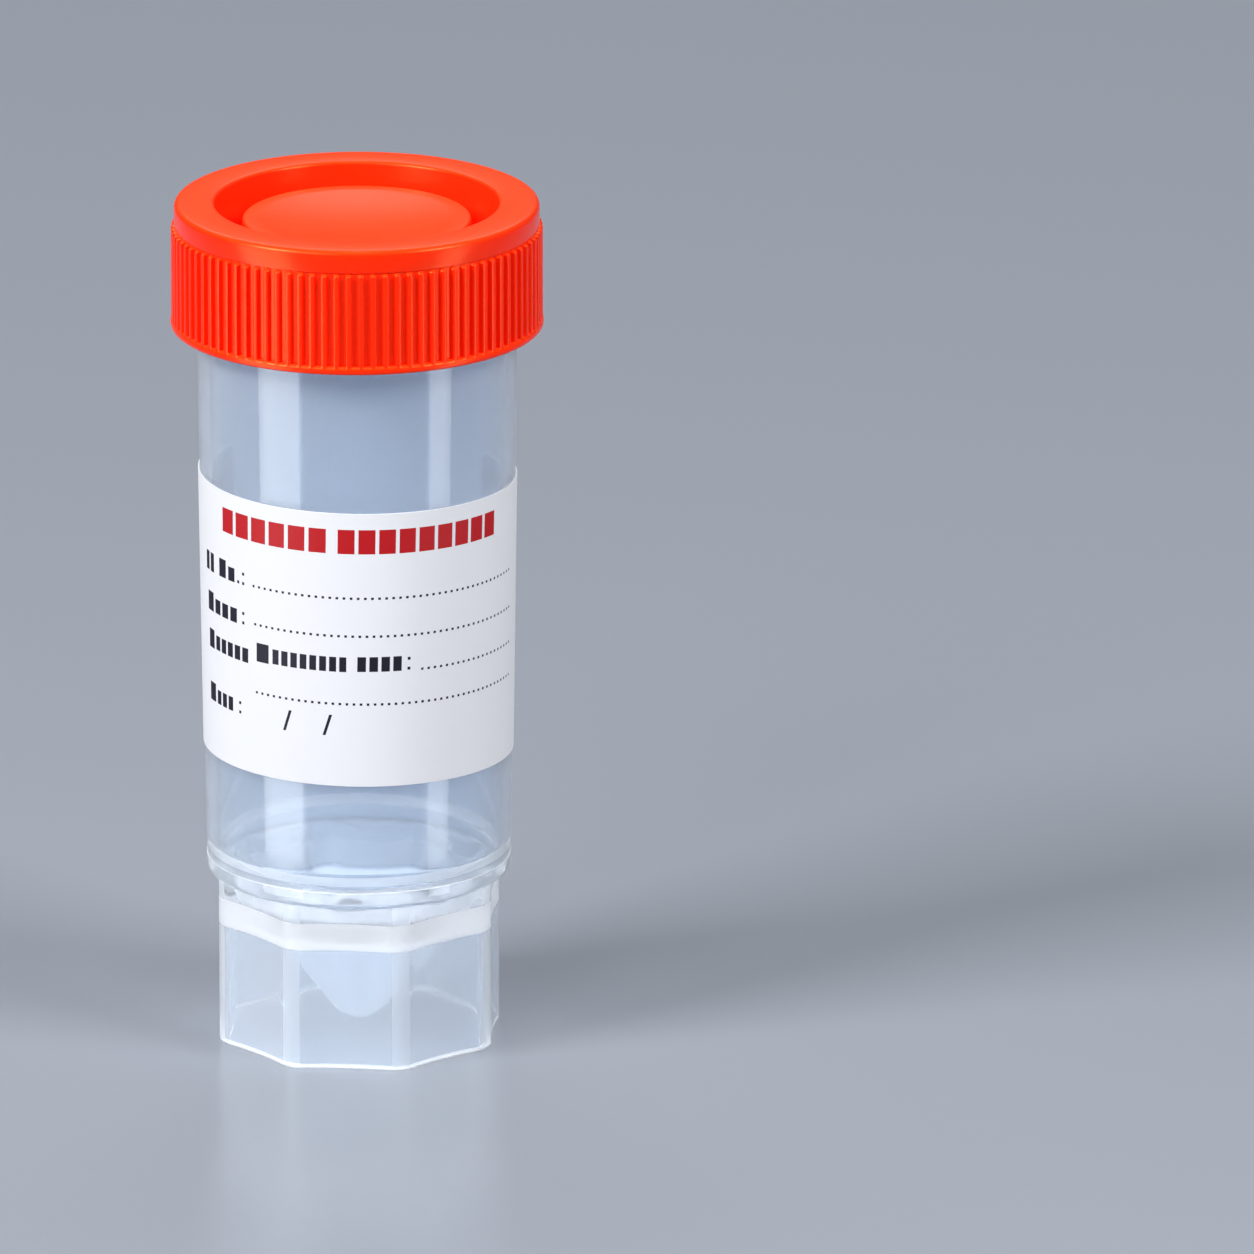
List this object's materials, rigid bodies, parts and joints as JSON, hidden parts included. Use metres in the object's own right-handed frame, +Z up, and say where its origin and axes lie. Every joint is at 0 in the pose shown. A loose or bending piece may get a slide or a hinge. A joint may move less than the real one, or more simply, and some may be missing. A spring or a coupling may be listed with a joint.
{
  "type": "specimen container",
  "caption": "Clear screw-capped specimen tube with a conical floor, an octagonal standing skirt, a ribbed screw cap and a plain wrap label.",
  "frame": {"origin": "centre of the standing plane, on the container's axis", "axes": "+Z up along the container's axis, -Y towards the middle of the label"},
  "size_m": [0.0361, 0.036, 0.084],
  "materials": {
    "clear_plastic": "satin",
    "cap_plastic": "satin",
    "label_paper": "matte"
  },
  "bodies": {
    "tube": {"container": "clear_plastic", "label": "label_paper"},
    "cap": {"screw_cap": "cap_plastic"}
  },
  "joints": [
    {"name": "cap_lift", "type": "slide", "parent": "tube", "child": "cap", "axis": [0, 0, 1], "range_m": [0, 0.025]}
  ]
}
